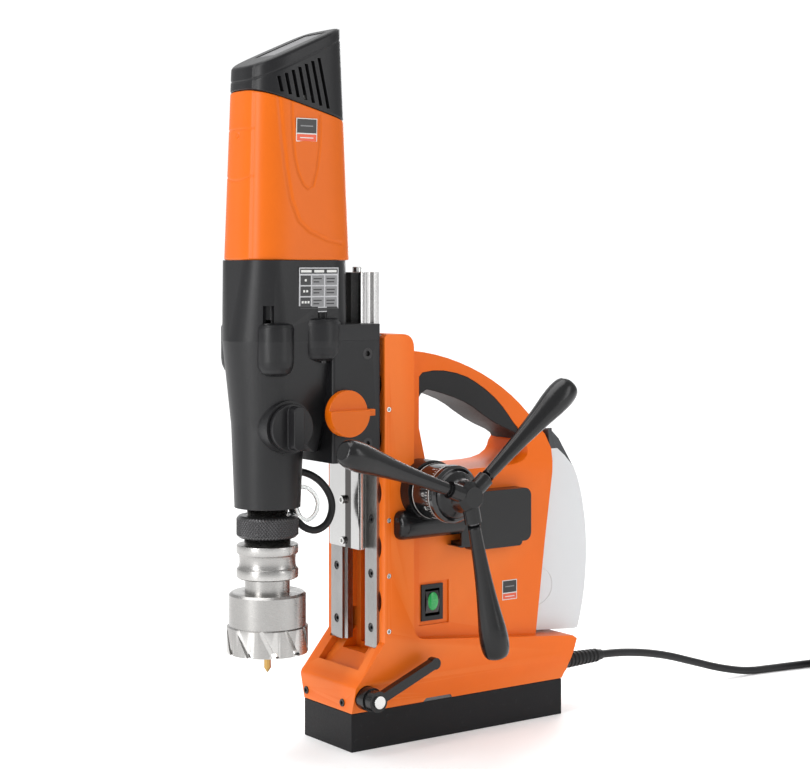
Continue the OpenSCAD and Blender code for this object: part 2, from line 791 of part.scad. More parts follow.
module motor_housing() {
  color(orange) difference() {
    intersection() {
      motor_body(motor_z0, 610, 0);
      below_seam(0);
    }
    motor_body(motor_z0 - 1, 612, 3);
    brush_window();
  }
}

module brush_cover() {
  color(orange) intersection() {
    difference() {
      motor_body(motor_z0, 610, -0.4);
      motor_body(motor_z0 - 1, 612, 3);
    }
    brush_window();
  }
}

module vent_cap() {
  slot_pitch = 8;
  color(black) difference() {
    intersection() {
      motor_body(560, 690, 0);
      below_top(0);
    }
    below_seam(0);
    intersection() {
      motor_body(558, 692, 3);
      below_top(4);
    }
    for (s = [-1, 1], k = [0:6])
      translate([-196 + k * slot_pitch, s * 36, 596 - k]) rotate([0, -14, 0])
        translate([-2, -12, 0]) cube([4, 24, 26 + 1.5 * k]);
    on_roof() translate([-34, -18, -1.5]) cube([60, 36, 20]);
  }
}

// Frame of the cap's sloping roof, with its panel
module on_roof() {
  translate([shell_x + 10, 0, 645.7]) rotate([0, -24.06, 0]) children();
}

module top_panel() {
  color([0.62, 0.62, 0.63]) on_roof() translate([-33.7, -17.7, -1.5]) cube([59.4, 35.4, 1.4]);
}

module stator() {
  color([0.45, 0.45, 0.46]) translate([motor_x, 0, 0]) tube(33.5, 23.5, 472, 540);
  color([0.72, 0.42, 0.20]) translate([motor_x, 0, 0]) {
    tube(31, 25, 462, 472);
    tube(31, 25, 540, 550);
  }
}

module carbon_brushes() {
  color([0.15, 0.15, 0.16]) for (s = [-1, 1]) {
    translate([motor_x + s * 21.3 - 9, -4, 552]) cube([18, 8, 12]);
  }
}

module armature() {
  color(steel) translate([motor_x, 0, 0]) {
    translate([0, 0, 410]) cylinder(r = 5, h = 194);
    gear(m1, teeth_a, mesh_1, 399, 411);
    translate([0, 0, 474]) cylinder(r = 22.5, h = 64);
    translate([0, 0, 544]) cylinder(r = 12, h = 24);
  }
}

module motor_fan() {
  color(black) translate([motor_x, 0, 0]) {
    tube(9, 5, 450, 460);
    tube(31, 5, 450, 452);
    for (k = [0:8]) rotate([0, 0, 40 * k]) translate([8, -0.9, 451]) cube([22, 1.8, 8]);
  }
}

module motor_bearings() {
  color(steel) translate([motor_x, 0, 0]) {
    tube(11, 5.05, 429, 438);
    tube(11, 5.05, 590, 599);
  }
  color([0.30, 0.30, 0.31]) translate([motor_x, 0, 590]) {
    tube(15, 11, 0, 9);
    for (s = [-1, 1]) translate([-4, s > 0 ? 14 : -32.7, 0]) cube([8, 18.7, 6]);
  }
}

module intermediate_gear() {
  color(steel) translate([inter_x, inter_dy, 0]) {
    gear(m2, teeth_c, mesh_2 + 180, 382, 397);
    gear(m1, teeth_b, mesh_1 + 180 + 180 / teeth_b, 397, 409);
    translate([0, 0, 369]) cylinder(r = 4, h = 52);
  }
}

module spindle() {
  color(steel) translate([-spindle_x, 0, 0]) difference() {
    union() {
      translate([0, 0, 199]) cylinder(r = 18.5, h = 29);
      translate([0, 0, 228]) cylinder(r = 15, h = 80);
      translate([0, 0, 300]) cylinder(r = 12, h = 92);
      gear(m2, teeth_d, mesh_2 + 180 / teeth_d, 382, 392);
    }
    translate([0, 0, 198]) cylinder(r = 9.55, h = 54);
  }
}

module spindle_bearings() {
  color(steel) translate([-spindle_x, 0, 0]) {
    tube(24, 15.05, 229, 246);
    tube(22, 12.05, seam_z - 20, seam_z - 5);
  }
}

module release_collar() {
  ribs = 36;
  color(black) translate([-spindle_x, 0, 0]) difference() {
    union() {
      translate([0, 0, 200]) cylinder(r = 28.2, h = 15);
      translate([0, 0, 197.5]) cylinder(r1 = 26, r2 = 28.2, h = 2.5);
      translate([0, 0, 215]) cylinder(r1 = 28.2, r2 = 26, h = 2.5);
    }
    translate([0, 0, 190]) cylinder(r = 18.56, h = 40);
    for (k = [0:ribs - 1]) rotate([0, 0, 360 * k / ribs])
      translate([28.6, 0, 199]) cylinder(r = 0.9, h = 17, $fn = 16);
  }
}

module arbor() {
  color(steel) translate([-spindle_x, 0, 0]) rotate_extrude() polygon(concat(
    [[pin_bore, 161], [27, 161], [28.15, 162.2], [28.15, 169]],
    curve([[26.5, 170.5], [25.2, 173], [25.2, 180], [26.5, 182.5]], 8),
    [[28.15, 184], [28.15, 190.4], [27, 191.4], [21, 191.4], [21, 197.2], [18, 197.2], [18, 198.6]],
    [[9.5, 198.6], [9.5, 249], [8.5, 250], [pin_bore, 250]],
    [[pin_bore, 240], [6, 240], [6, 205], [pin_bore, 205]]));
}

module annular_cutter() {
  r_teeth = cutter_d / 2;
  r_body = r_teeth - 1.8;
  color(steel) translate([-spindle_x, 0, 0]) difference() {
    rotate_extrude() polygon([
      [pin_bore, 138], [r_body - 4, 138], [r_body - 4, 94], [r_teeth, 94], [r_teeth, 117.5], [r_body, 118.5],
      [r_body, 146], [r_body - 2, 148], [20.5, 148], [20.5, 161], [pin_bore, 161]]);
    for (k = [0:cutter_teeth - 1]) rotate([0, 0, 360 * k / cutter_teeth]) {
      translate([r_body - 1.6, 0, 90]) rotate([28, 0, 0]) translate([0, -2, 0]) cube([8, 4, 36]);
      translate([r_body - 6, -2.4, 93]) rotate([28, 0, 0]) cube([12, 4.8, 5]);
    }
  }
}

module pilot_pin() {
  color(brass) translate([-spindle_x, 0, 0]) {
    translate([0, 0, 75]) cylinder(r1 = 0.6, r2 = pin_r, h = 4);
    translate([0, 0, 79]) cylinder(r = pin_r, h = 126.5);
    translate([0, 0, 205.4]) cylinder(r = 5.2, h = 2);
  }
}

// Coil spring over the pin's head, inside the arbor
module ejector_spring() {
  turns = 6;
  steps = 12;
  z0 = 208.2;
  z1 = 238.8;
  color([0.60, 0.60, 0.61]) translate([-spindle_x, 0, 0])
    sweep([for (i = [0:turns * steps]) let (a = 360 * i / steps)
      [4.6 * cos(a), 4.6 * sin(a), z0 + (z1 - z0) * i / (turns * steps)]], 0.6, 8);
}

// ---- Coolant tank ----

tank_rear = curve([[150, 242], [172, 200], [172, 128], [155, 80]], 12);
tank_front = [[95.5, 84], [106.5, 172], [114.5, 227], [118.7, 255], [119.3, 259.4]];
// Axis of the cap's hinge, behind the top of the housing
cap_hinge_x = 119;
cap_hinge_z = 279.5;
cap_w = 54;
module coolant_tank() {
  wall = 2.2;
  outer = concat(tank_front, [[124, 260.3], [128, 262], [138, 254]], tank_rear, [[149, 79.5], [100, 84]]);
  hinge_arm = [[118.9, 256], [127, 259], [122, 277], [121.6, 282], [117, 282], [118.2, 266]];
  inner = [[98.7, 88], [108.8, 172], [116.8, 227], [120.5, 252], [128, 257], [136.5, 250.5], [148, 240],
    [158, 220], [164.5, 190], [166, 160], [163.5, 125], [153, 84]];
  color([0.93, 0.94, 0.95, 0.6]) difference() {
    union() {
      side_plate(outer, -29, 29);
      side_plate(hinge_arm, -29, -cap_w / 2 - 0.4);
      side_plate(hinge_arm, cap_w / 2 + 0.4, 29);
    }
    side_plate(inner, -29 + wall, 29 - wall);
    translate([128, 0, 245]) cylinder(r = 9, h = 40);
    rod_y(cap_hinge_x, cap_hinge_z, 2.05, -30, 30);
  }
}

module tank_cap() {
  color([0.28, 0.29, 0.31]) difference() {
    union() {
      rod_y(cap_hinge_x, cap_hinge_z, 2, -28.7, 28.7);
      side_plate([[119, 281.5], [121, 281], [132, 271], [150, 243.5], [138.2, 254.3], [128, 262.5],
        [124, 261], [119.6, 260.3], [117.4, 279]], -cap_w / 2, cap_w / 2);
    }
    translate([128, 0, 240]) cylinder(r = 7, h = 28);
  }
}

// ---- Mains cord ----

module strain_relief() {
  length = 54;
  ribs = 9;
  color(black) {
    rod_x(exit_y, exit_z, 8, 112, 136);
    translate([136, exit_y, exit_z]) rotate([0, 90, 0]) rotate_extrude() polygon(concat(
      [[0, 0], [9, 0], [9, 3]],
      [for (i = [0:ribs - 1], k = [[0, 0], [0.5, 0], [0.5, -0.9], [1, -0.9]])
        [8.2 - 1.6 * (i + k[0]) / ribs + k[1], 4 + (length - 8) * (i + k[0]) / ribs]],
      [[5.4, length - 3], [5.2, length], [0, length]]));
  }
}

module power_cord() {
  color(black) {
    sweep(cord_route, cord_d / 2, 10);
    sweep(cord_tail, cord_d / 2, 10);
  }
}

module cord_coil() {
  r_wide = 1.5 * cord_d;
  color(black) translate([coil_x, coil_y, 0]) rotate_extrude() translate([coil_r, 2 * cord_d])
    rounded_rect(2 * r_wide, 4 * cord_d, 3);
}

module mains_plug() {
  x = cord_tail[4][0];
  y = cord_tail[4][1];
  color(black) {
    translate([x, y, 13]) rotate([90, 0, 0]) cylinder(r1 = 6, r2 = 8, h = 18);
    translate([x, y - 18, 13]) rotate([90, 0, 0]) linear_extrude(24) rounded_rect(36, 26, 9);
  }
  color(steel) for (s = [-1, 1]) rod_y(x + 9.5 * s, 13, 2.4, y - 61, y - 42);
}

module motor_lead() {
  color(black) sweep(lead_route, 3.4, 10);
}

module coolant_hose() {
  color([0.80, 0.82, 0.82]) sweep(hose_route, 2, 8);
}

magnet_body();
magnet_coil();
magnet_potting();
swivel_plate();
stand_frame();
rear_housing();
handle_grip();
near_guide_rail();
far_guide_rail();
guide_rail_screws();
gib_screws();
foot_screws();
pinion_housing();
feed_bushes();
control_box();
control_board();
switch_bezel();
switch_rocker();
clamp_lever();
clamp_lever_screw();
pinion_shaft();
scale_ring();
star_hub();
star_spokes();
star_grips();
carriage_slide();
feed_rack();
carriage_screws();
motor_bracket();
bracket_screws();
gearbox_lower();
gearbox_upper();
gearbox_screws();
gear_selector();
height_clamp_knob();
motor_housing();
brush_cover();
vent_cap();
top_panel();
stator();
carbon_brushes();
armature();
motor_fan();
motor_bearings();
intermediate_gear();
spindle();
spindle_bearings();
release_collar();
arbor();
annular_cutter();
pilot_pin();
ejector_spring();
coolant_tank();
tank_cap();
strain_relief();
power_cord();
cord_coil();
mains_plug();
motor_lead();
coolant_hose();
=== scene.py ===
import json
import math

import bmesh
import bpy
from mathutils import Matrix, Vector


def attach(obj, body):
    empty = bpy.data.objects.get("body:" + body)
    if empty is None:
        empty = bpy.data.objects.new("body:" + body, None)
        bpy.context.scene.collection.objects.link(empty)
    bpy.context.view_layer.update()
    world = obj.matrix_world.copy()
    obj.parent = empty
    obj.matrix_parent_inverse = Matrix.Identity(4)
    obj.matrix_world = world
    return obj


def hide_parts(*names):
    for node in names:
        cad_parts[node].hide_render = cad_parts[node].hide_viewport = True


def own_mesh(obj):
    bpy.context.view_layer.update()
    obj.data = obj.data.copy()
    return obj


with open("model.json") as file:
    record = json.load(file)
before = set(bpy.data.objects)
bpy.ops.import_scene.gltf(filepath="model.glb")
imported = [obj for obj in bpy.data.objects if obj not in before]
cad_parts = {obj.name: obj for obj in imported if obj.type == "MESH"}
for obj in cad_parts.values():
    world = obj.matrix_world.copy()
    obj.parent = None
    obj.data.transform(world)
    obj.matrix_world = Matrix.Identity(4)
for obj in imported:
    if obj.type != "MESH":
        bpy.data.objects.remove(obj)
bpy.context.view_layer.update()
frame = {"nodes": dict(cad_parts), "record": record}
NODES = frame["nodes"]
MM = 0.001
SPINDLE_X = -0.190                     # axis of the spindle and the cutter, metres
SHELL_X = -0.172                       # middle of the motor shell, metres
FEED = Vector((-0.048, 0.0, 0.235))    # on the axis of the feed handle, metres
VIEW = Vector((0.582, 0.813, 0.0))     # level direction in which the camera looks


def linked(name, data):
    """New object in the scene."""
    ob = bpy.data.objects.new(name, data)
    bpy.context.scene.collection.objects.link(ob)
    return ob


def aim(ob, direction):
    """Turns a camera or a lamp to look along a direction."""
    ob.rotation_mode = "QUATERNION"
    ob.rotation_quaternion = direction.to_track_quat("-Z", "Y")


# ---------------------------------------------------------------- camera
# Solved from the two sets of parallel edges of the magnet foot. The camera looks level, and the picture is
# shifted instead.
cam_data = bpy.data.cameras.new("camera")
cam_data.lens = 81.33
cam_data.sensor_width = 36.0
cam_data.shift_y = -0.1512
cam = linked("camera", cam_data)
cam.location = (-1.054, -1.421, 0.4464)
aim(cam, VIEW)
bpy.context.scene.camera = cam


# ---------------------------------------------------------------- materials
def add(nt, kind, props=None, **inputs):
    """New shader node with its properties and input values."""
    n = nt.nodes.new(kind)
    for k, v in (props or {}).items():
        setattr(n, k, v)
    for k, v in inputs.items():
        n.inputs[k.replace("_", " ")].default_value = v
    return n


def blend(nt, factor, first, color):
    """Colour socket that shows the first one, and the given colour where the factor is 1."""
    mix = add(nt, "ShaderNodeMix", {"data_type": "RGBA"})
    mix.inputs["B"].default_value = tuple(color) + (1.0,)
    nt.links.new(factor, mix.inputs["Factor"])
    nt.links.new(first, mix.inputs["A"])
    return mix.outputs["Result"]


def surface(name, color, rough, metal=0.0, spec=0.5, coat=0.0, coat_rough=0.12, tint=0.05, broad=14.0,
            grain=900.0, bump=0.00001, spread=0.06, stretch=(1, 1, 1), edge_wear_and_highlight=0.0, edge_wear_and_highlight_color=(0.6, 0.6, 0.6),
            dirt=0.0, transmission=0.0, subsurface=0.0, emission=0.0, pit=0.0, ior=1.5):
    """Procedural finish: colour drift, fine grain in roughness and relief, worn edges with a painted edge
    highlight, specks of dust.
    """
    m = bpy.data.materials.new(name)
    m.use_nodes = True
    nt = m.node_tree
    nt.nodes.clear()
    link = nt.links.new
    out = add(nt, "ShaderNodeOutputMaterial")
    bsdf = add(nt, "ShaderNodeBsdfPrincipled", Metallic=metal, Specular_IOR_Level=spec, Coat_Weight=coat,
               Coat_Roughness=coat_rough, Transmission_Weight=transmission,
               Subsurface_Weight=subsurface, IOR=ior)
    if subsurface:
        bsdf.inputs["Subsurface Radius"].default_value = (0.004, 0.004, 0.004)
    link(bsdf.outputs[0], out.inputs[0])
    place = add(nt, "ShaderNodeTexCoord")
    drift = add(nt, "ShaderNodeTexNoise", Scale=broad, Detail=5.0, Roughness=0.6)
    link(place.outputs["Object"], drift.inputs["Vector"])
    warp = add(nt, "ShaderNodeMapping", Scale=stretch)
    link(place.outputs["Object"], warp.inputs["Vector"])
    fine = add(nt, "ShaderNodeTexNoise", Scale=grain, Detail=4.0, Roughness=0.65)
    link(warp.outputs[0], fine.inputs["Vector"])
    low = tuple(c * (1 - tint) for c in color) + (1.0,)
    high = tuple(min(1.0, c * (1 + tint)) for c in color) + (1.0,)
    mix = add(nt, "ShaderNodeMix", {"data_type": "RGBA"})
    mix.inputs["A"].default_value = low
    mix.inputs["B"].default_value = high
    span = add(nt, "ShaderNodeMapRange", From_Min=0.3, From_Max=0.7)
    link(drift.outputs[0], span.inputs[0])
    link(span.outputs[0], mix.inputs["Factor"])
    last = mix.outputs["Result"]
    if dirt:
        speck = add(nt, "ShaderNodeTexNoise", Scale=230.0, Detail=6.0, Roughness=0.75)
        link(place.outputs["Object"], speck.inputs["Vector"])
        keep = add(nt, "ShaderNodeMapRange", From_Min=0.60, From_Max=0.74, To_Max=dirt)
        link(speck.outputs[0], keep.inputs[0])
        last = blend(nt, keep.outputs[0], last, (0.30, 0.29, 0.28))
    # Painted edge highlight, partly real edge wear: convex edges, found by pointiness, take a lighter edge
    # colour
    if edge_wear_and_highlight:
        geo = add(nt, "ShaderNodeNewGeometry")
        edge = add(nt, "ShaderNodeMapRange", From_Min=0.53, From_Max=0.62, To_Max=edge_wear_and_highlight)
        link(geo.outputs["Pointiness"], edge.inputs[0])
        last = blend(nt, edge.outputs[0], last, edge_wear_and_highlight_color)
    link(last, bsdf.inputs["Base Color"])
    if emission:
        link(last, bsdf.inputs["Emission Color"])
        bsdf.inputs["Emission Strength"].default_value = emission
    matt = add(nt, "ShaderNodeMapRange", From_Min=0.25, From_Max=0.75, To_Min=max(0.02, rough - spread),
               To_Max=min(1.0, rough + spread))
    link(fine.outputs[0], matt.inputs[0])
    link(matt.outputs[0], bsdf.inputs["Roughness"])
    relief = add(nt, "ShaderNodeBump", Strength=1.0, Distance=bump)
    link(fine.outputs[0], relief.inputs["Height"])
    if pit:
        cells = add(nt, "ShaderNodeTexVoronoi", {"feature": "SMOOTH_F1"}, Scale=grain * 0.45)
        link(warp.outputs[0], cells.inputs["Vector"])
        pits = add(nt, "ShaderNodeBump", Strength=1.0, Distance=pit)
        link(cells.outputs["Distance"], pits.inputs["Height"])
        link(relief.outputs[0], pits.inputs["Normal"])
        relief = pits
    link(relief.outputs[0], bsdf.inputs["Normal"])
    return m


ORANGE = (0.73, 0.125, 0.001)
# The wear colours below lighten convex edges: a painted edge highlight, partly real wear.
MAT = {
    "orange_paint": surface("orange_powder_coat", ORANGE, 0.38, spec=0.25, coat=0.05, coat_rough=0.2,
                            tint=0.04, grain=520, bump=0.000014, spread=0.05, edge_wear_and_highlight=0.10,
                            edge_wear_and_highlight_color=(0.95, 0.42, 0.14)),
    "orange_plastic": surface("orange_moulding", (0.61, 0.112, 0.001), 0.38, spec=0.25, coat=0.03,
                              coat_rough=0.25, tint=0.03, grain=1500, bump=0.000012, spread=0.07,
                              pit=0.000008),
    "magnet_black": surface("magnet_black", (0.005, 0.005, 0.006), 0.45, spec=0.15, tint=0.25, grain=700,
                            bump=0.00003, spread=0.1, dirt=0.05, edge_wear_and_highlight=0.2, edge_wear_and_highlight_color=(0.08, 0.08, 0.08),
                            pit=0.00001),
    "copper": surface("copper_winding", (0.70, 0.33, 0.14), 0.3, metal=1.0, grain=700, stretch=(1, 1, 6),
                      bump=0.00004),
    "resin_black": surface("potting_resin", (0.012, 0.012, 0.013), 0.25, coat=0.4, grain=300,
                           bump=0.00003),
    "machined_steel": surface("machined_steel", (0.46, 0.45, 0.435), 0.28, metal=1.0, tint=0.06,
                              grain=260, stretch=(1, 1, 14), bump=0.00001, spread=0.1),
    "ground_steel": surface("ground_steel", (0.30, 0.295, 0.29), 0.32, metal=1.0, tint=0.14, grain=240,
                            stretch=(14, 14, 0.5), bump=0.00001, spread=0.1, edge_wear_and_highlight=0.3),
    "black_screw": surface("black_oxide_screw", (0.022, 0.021, 0.022), 0.38, metal=0.6, tint=0.2,
                           grain=1200, bump=0.00001, edge_wear_and_highlight=0.4, edge_wear_and_highlight_color=(0.20, 0.20, 0.20)),
    "bright_screw": surface("zinc_screw", (0.62, 0.62, 0.61), 0.24, metal=1.0, tint=0.06, grain=1400,
                            bump=0.000008),
    "black_plastic": surface("moulded_black", (0.011, 0.0108, 0.0118), 0.36, spec=0.3, tint=0.12,
                             grain=1700, bump=0.00002, spread=0.07, dirt=0.015, pit=0.00001),
    "grip_gloss": surface("polished_black_moulding", (0.005, 0.005, 0.0055), 0.24, spec=0.36, tint=0.12,
                          grain=1300, bump=0.000008, spread=0.05, dirt=0.01),
    "bronze": surface("sintered_bronze", (0.48, 0.30, 0.12), 0.45, metal=1.0, grain=2400, bump=0.00003,
                      pit=0.00002),
    "circuit_board": surface("circuit_board", (0.01, 0.16, 0.05), 0.35, coat=0.5, grain=600,
                             bump=0.00001),
    "green_lens": surface("lit_green_lens", (0.003, 0.27, 0.05), 0.25, coat=0.25, grain=900, bump=0.00001,
                          emission=0.15, tint=0.12),
    "cord_rubber": surface("cord_rubber", (0.012, 0.012, 0.013), 0.5, spec=0.3, tint=0.2, grain=1900,
                           bump=0.00003, dirt=0.05, pit=0.00001),
    "gloss_black": surface("gloss_black", (0.006, 0.006, 0.0065), 0.14, spec=0.45, coat=0.35,
                           coat_rough=0.06, tint=0.1, grain=600, bump=0.000003, spread=0.04),
    "black_steel": surface("blackened_steel", (0.055, 0.054, 0.056), 0.30, metal=0.85, tint=0.18,
                           grain=1000, bump=0.00002, edge_wear_and_highlight=0.55, edge_wear_and_highlight_color=(0.30, 0.30, 0.30)),
    "polished_steel": surface("polished_steel", (0.52, 0.515, 0.51), 0.16, metal=1.0, tint=0.03,
                              grain=200, stretch=(16, 16, 0.35), bump=0.000003, spread=0.05),
    "black_casting": surface("textured_black_coat", (0.006, 0.006, 0.007), 0.38, spec=0.32, tint=0.12,
                             grain=1250, bump=0.00006, spread=0.08, dirt=0.02, edge_wear_and_highlight=0.08,
                             edge_wear_and_highlight_color=(0.07, 0.07, 0.07), pit=0.00003),
    "grey_plastic": surface("grey_moulding", (0.19, 0.19, 0.195), 0.42, tint=0.06, grain=1300,
                            bump=0.00002),
    "lamination": surface("lamination_stack", (0.28, 0.28, 0.285), 0.42, metal=1.0, grain=300,
                          stretch=(1, 1, 12), bump=0.00005),
    "carbon": surface("carbon_block", (0.012, 0.012, 0.012), 0.6, grain=1800, bump=0.00002),
    "clear_hose": surface("clear_hose", (0.78, 0.80, 0.79), 0.18, transmission=0.75, coat=0.3, grain=500,
                          bump=0.000005, ior=1.42),
    "satin_steel": surface("satin_steel", (0.36, 0.352, 0.342), 0.30, metal=1.0, tint=0.07, grain=330,
                           stretch=(0.7, 0.7, 9), bump=0.000014, spread=0.1, edge_wear_and_highlight=0.5,
                           edge_wear_and_highlight_color=(0.75, 0.74, 0.72)),
    "gold_coat": surface("gold_coat", (0.46, 0.29, 0.10), 0.32, metal=1.0, grain=500, stretch=(1, 1, 8),
                         bump=0.00001),
    "tank_plastic": surface("tank_moulding", (0.63, 0.64, 0.65), 0.30, tint=0.012, broad=6.0, grain=300,
                            bump=0.000006, spread=0.03, subsurface=0.5, coat=0.15, coat_rough=0.2,
                            ior=1.45),
    "dark_cap": surface("dark_cap", (0.035, 0.037, 0.042), 0.38, tint=0.1, grain=1500, bump=0.00002),
    "grip_rubber": surface("grip_rubber", (0.011, 0.0108, 0.0115), 0.58, spec=0.3, tint=0.12, grain=1500,
                           bump=0.00006, spread=0.05, dirt=0.02, pit=0.00004),
    "label_metal": surface("label_metal", (0.36, 0.36, 0.37), 0.36, metal=0.7, grain=300,
                           stretch=(18, 1, 1), bump=0.000004),
    "ink_black": surface("ink_black", (0.014, 0.014, 0.015), 0.35, grain=2000, bump=0.000004),
    "ink_white": surface("ink_white", (0.62, 0.62, 0.60), 0.42, grain=2000, bump=0.000004),
    "ink_red": surface("ink_red", (0.66, 0.085, 0.03), 0.38, grain=2000, bump=0.000004),
}


def above(nt, height):
    """Mask node that is 1 above a height in metres."""
    return add(nt, "ShaderNodeMapRange", From_Min=height, From_Max=height + 0.0002)


def within(nt, middle, half):
    """Mask node that is 1 up to a half width from a middle, in metres."""
    mask = add(nt, "ShaderNodeMath", {"operation": "COMPARE"})
    mask.inputs[1].default_value = middle
    mask.inputs[2].default_value = half
    return mask


def repaint(material, axis, color, mask, *limits):
    """Another colour where a mask along an axis of the object is 1."""
    nt = material.node_tree
    bsdf = next(n for n in nt.nodes if n.type == "BSDF_PRINCIPLED")
    source = bsdf.inputs["Base Color"].links[0].from_socket
    place = add(nt, "ShaderNodeTexCoord")
    split = add(nt, "ShaderNodeSeparateXYZ")
    nt.links.new(place.outputs["Object"], split.inputs[0])
    where = mask(nt, *limits)
    nt.links.new(split.outputs[axis], where.inputs[0])
    nt.links.new(blend(nt, where.outputs[0], source, color), bsdf.inputs["Base Color"])


# The tank's dark upper end
repaint(MAT["tank_plastic"], "Z", (0.035, 0.037, 0.042), above, 0.2613)
# Painted dark reflection: a dark band down the polished carriage slide
repaint(MAT["polished_steel"], "Y", (0.075, 0.07, 0.068), within, -0.0072, 0.0048)


# ---------------------------------------------------------------- mesh helpers
BOX_FACES = ((3, 2, 1, 0), (4, 5, 6, 7), (0, 1, 5, 4), (1, 2, 6, 5), (2, 3, 7, 6), (3, 0, 4, 7))


def outward_mesh(name, verts, faces):
    """Mesh with all its faces turned outwards."""
    me = bpy.data.meshes.new(name)
    me.from_pydata([tuple(v) for v in verts], [], faces)
    me.validate()
    bm = bmesh.new()
    bm.from_mesh(me)
    bmesh.ops.recalc_face_normals(bm, faces=bm.faces)
    bm.to_mesh(me)
    bm.free()
    return me


def make(name, verts, faces, body, slot, mats=None, face_mats=None, smooth=True):
    """Mesh piece from points in metres, riding on a CAD body."""
    me = outward_mesh(name, verts, faces)
    for s in mats or [slot]:
        me.materials.append(MAT[s])
    if face_mats:
        me.polygons.foreach_set("material_index", face_mats)
    me.polygons.foreach_set("use_smooth", [smooth] * len(me.polygons))
    ob = linked(name, me)
    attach(ob, body)
    return ob


def modifier(ob, kind, name, **props):
    mod = ob.modifiers.new(name, kind)
    for k, v in props.items():
        setattr(mod, k, v)
    return mod


def soften(ob, width, segments=2, angle=32.0, clean=True):
    """Rounded edges: welds the mesh, merges flat faces, bevels the sharp edges and evens the shading."""
    if clean:
        modifier(ob, "WELD", "weld", merge_threshold=0.00001)
        modifier(ob, "DECIMATE", "flats", decimate_type="DISSOLVE", angle_limit=math.radians(0.6))
    if width:
        modifier(ob, "BEVEL", "edges", width=width, segments=segments, limit_method="ANGLE",
                 angle_limit=math.radians(angle), use_clamp_overlap=True, miter_outer="MITER_ARC")
    modifier(ob, "WEIGHTED_NORMAL", "shading", weight=80, keep_sharp=False)


def apply_modifiers(ob):
    """Turns the result of the modifiers into the object's own mesh."""
    dg = bpy.context.evaluated_depsgraph_get()
    me = bpy.data.meshes.new_from_object(ob.evaluated_get(dg))
    ob.modifiers.clear()
    ob.data = me


def grid_faces(rows, cols):
    """Quads between rows of points, each row closed into a ring."""
    return [(r * cols + c, r * cols + (c + 1) % cols, (r + 1) * cols + (c + 1) % cols, (r + 1) * cols + c)
            for r in range(rows - 1) for c in range(cols)]


def lathe(profile, steps, place):
    """Points and faces of a profile [(radius, height)] turned about local Z and placed by a matrix."""
    verts = [place @ Vector((r * math.cos(2 * math.pi * k / steps), r * math.sin(2 * math.pi * k / steps), h))
             for r, h in profile for k in range(steps)]
    return verts, grid_faces(len(profile), steps)


def y_frame(x, z, y=0.0):
    """Local Z points to -Y, local X to +X: a face seen from the near side."""
    return Matrix.Translation((x, y, z)) @ Matrix.Rotation(math.radians(90), 4, "X")


def plates(items):
    """Thin raised rectangles [(x0, y0, x1, y1, height, material index)] in a local XY plane."""
    verts, faces, index = [], [], []
    for x0, y0, x1, y1, h, m in items:
        b = len(verts)
        verts += [Vector((x, y, z)) for z in (0, h) for x, y in ((x0, y0), (x1, y0), (x1, y1), (x0, y1))]
        faces += [tuple(b + i for i in f) for f in BOX_FACES]
        index += [m] * len(BOX_FACES)
    return verts, faces, index


def smoothstep(t):
    t = min(1.0, max(0.0, t))
    return t * t * (3 - 2 * t)


# ---------------------------------------------------------------- mains cord, laid where its solids lie
ROUTE = [(190, -25, 48), (210, -25, 47), (230, -25, 45), (250, -25, 42), (270, -25, 38), (290, -25, 33),
         (310, -25, 27), (330, -25, 21), (350, -25, 15), (370, -26, 10), (390, -27, 6), (410, -29, 4),
         (430, -32, 4), (450, -35, 4), (470, -38, 4), (490, -41, 4), (515, -44, 4)]
TAIL = [(571, -100, 28), (571, -116, 27), (571, -132, 23), (571, -146, 17), (571, -160, 13)]
COIL = (515, -100)                     # middle of the coil, mm
CORD_R = 4.0
COLUMNS = [56, 48, 40]                 # radii of the turns in a layer, mm
LAYERS = 4


def coil_points():
    """Twelve turns: three beside each other in each of four layers, then a quarter turn out."""
    turns = len(COLUMNS) * LAYERS
    lay = []
    for level in range(LAYERS):
        for r in (COLUMNS if level % 2 == 0 else COLUMNS[::-1]):
            lay.append((r, CORD_R + 2 * CORD_R * level))
    top = (COLUMNS[0], CORD_R * (2 * LAYERS - 1))
    lay += [top, top]
    steps = 24
    pts = []
    for k in range(1, int((turns + 0.25) * steps) + 1):
        t = k / steps
        turn = min(int(t), turns)
        # the cord moves to its next place in the last 0.12 of each turn
        share = smoothstep((t - turn - 0.88) / 0.12)
        r = lay[turn][0] + (lay[turn + 1][0] - lay[turn][0]) * share
        z = lay[turn][1] + (lay[turn + 1][1] - lay[turn][1]) * share
        a = math.radians(90) - 2 * math.pi * t
        pts.append((COIL[0] + r * math.cos(a), COIL[1] + r * math.sin(a), z))
    return pts


def curve_piece(name, points, radius, body, slot):
    """Round wire through points in mm, riding on a CAD body."""
    data = bpy.data.curves.new(name, "CURVE")
    data.dimensions = "3D"
    data.bevel_depth = radius * MM
    data.bevel_resolution = 5
    data.use_fill_caps = True
    spline = data.splines.new("POLY")
    spline.points.add(len(points) - 1)
    for p, q in zip(spline.points, points):
        p.co = (q[0] * MM, q[1] * MM, q[2] * MM, 1.0)
    spline.use_smooth = True
    data.materials.append(MAT[slot])
    ob = linked(name, data)
    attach(ob, body)
    return ob


def spline_through(points, per):
    """Catmull-Rom points through the route, a number per stretch."""
    p = [Vector(q) for q in points]
    p = [2 * p[0] - p[1]] + p + [2 * p[-1] - p[-2]]
    out = []
    for a, b, c, d in zip(p, p[1:], p[2:], p[3:]):
        for k in range(per):
            t = k / per
            out.append(0.5 * (2 * b + (c - a) * t + (2 * a - 5 * b + 4 * c - d) * t * t
                              + (3 * b - a - 3 * c + d) * t ** 3))
    return [tuple(q) for q in out + [p[-2]]]


cord_line = spline_through(ROUTE, 3) + coil_points() + spline_through(TAIL, 3)[1:]
cord_line = [(x, y, max(z, CORD_R)) for x, y, z in cord_line]
mains_cord = curve_piece("mains_cord", cord_line, CORD_R, "stand", "cord_rubber")
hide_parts("power_cord", "cord_coil")

